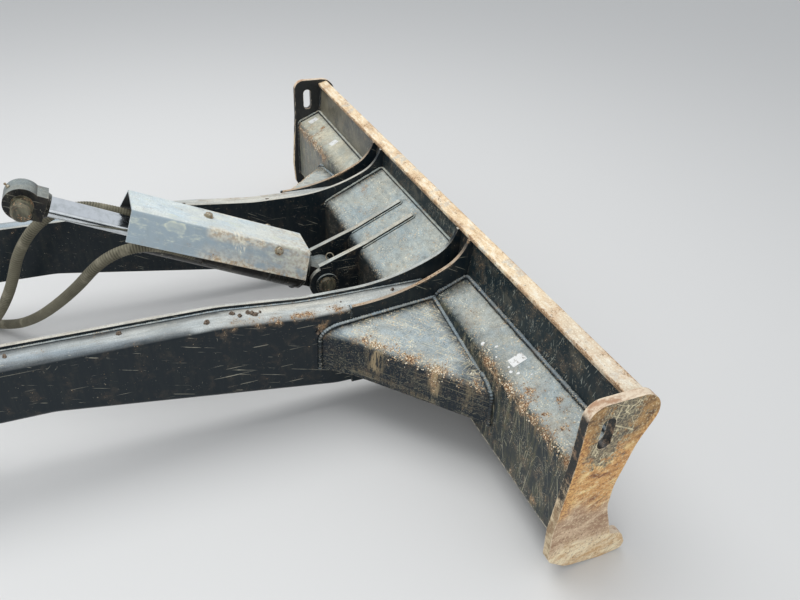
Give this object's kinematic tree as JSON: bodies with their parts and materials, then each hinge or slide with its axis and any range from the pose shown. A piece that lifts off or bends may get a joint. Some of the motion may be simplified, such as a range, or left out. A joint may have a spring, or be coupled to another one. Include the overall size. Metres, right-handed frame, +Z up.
{
  "type": "dozer blade assembly of a crawler excavator",
  "caption": "Dozer blade on two push arms, lifted by a guarded cylinder between clevis ears, with hoses and pins; swings about the arms' pivot axis.",
  "frame": {"origin": "middle of the axis on which the two push arms swing on the machine", "axes": "+X to the machine's right along the pivot axis, +Y forward to the blade, +Z up"},
  "size_m": [1.96, 1.5897, 0.5879],
  "materials": {
    "blade_paint": "dark blue-black enamel, dusty and scratched",
    "cylinder_paint": "black enamel",
    "edge_steel": "worn bright steel",
    "end_plate_steel": "paint worn to orange rust",
    "fitting_steel": "zinc plated",
    "guard_paint": "grey-blue paint, rust along the edges",
    "hose_sleeve": "khaki textile sleeve",
    "pin_steel": "greased steel, rusty",
    "rim_steel": "worn steel with tan rust",
    "rod_chrome": "hard chrome"
  },
  "bodies": {
    "root": {"arm_pin_left": "pin_steel", "arm_pin_right": "pin_steel"},
    "blade": {"arm_boss_left": "blade_paint", "arm_boss_right": "blade_paint", "arm_channel_left": "blade_paint", "arm_channel_right": "blade_paint", "arm_floor_left": "blade_paint", "arm_floor_right": "blade_paint", "arm_inner_plate_left": "blade_paint", "arm_inner_plate_right": "blade_paint", "arm_riser_plate_left": "blade_paint", "arm_riser_plate_right": "blade_paint", "centre_box": "blade_paint", "cutting_edge": "edge_steel", "ear_collar_left": "pin_steel", "ear_collar_right": "pin_steel", "ear_pin": "pin_steel", "ear_plate_left": "blade_paint", "ear_plate_right": "blade_paint", "end_plate_left": "end_plate_steel", "end_plate_right": "end_plate_steel", "gusset_left": "blade_paint", "gusset_right": "blade_paint", "mouldboard": "blade_paint", "side_box_left": "blade_paint", "side_box_right": "blade_paint", "top_rim": "rim_steel"},
    "barrel": {"cylinder_eye": "cylinder_paint", "cylinder_gland": "cylinder_paint", "cylinder_guard": "guard_paint", "cylinder_tube": "cylinder_paint", "guard_bracket_front": "guard_paint", "guard_bracket_rear": "guard_paint", "hose_clip": "fitting_steel", "hose_far": "hose_sleeve", "hose_ferrule_far": "fitting_steel", "hose_ferrule_near": "fitting_steel", "hose_fitting_far": "fitting_steel", "hose_fitting_near": "fitting_steel", "hose_near": "hose_sleeve", "port_far": "fitting_steel", "port_near": "fitting_steel"},
    "rod": {"rod": "rod_chrome", "rod_eye": "cylinder_paint", "machine_pin": "pin_steel"}
  },
  "joints": [
    {"name": "blade_lift", "type": "hinge", "parent": "root", "child": "blade", "pos_m": [0, 0, 0], "axis": [1, 0, 0], "range_deg": [-16, 19]},
    {"name": "barrel_swing", "type": "hinge", "parent": "blade", "child": "barrel", "pos_m": [0, 0.962, -0.062], "axis": [1, 0, 0], "range_deg": [-2.64, 3.1]},
    {"name": "rod_slide", "type": "slide", "parent": "barrel", "child": "rod", "axis": [0, -0.9, 0.4359], "range_m": [-0.1167, 0.0985]}
  ],
  "couplings": [
    {"joint": "barrel_swing", "follows": "blade_lift", "ratio": 0.15261},
    {"joint": "rod_slide", "follows": "blade_lift", "m_per_rad": -0.349}
  ]
}
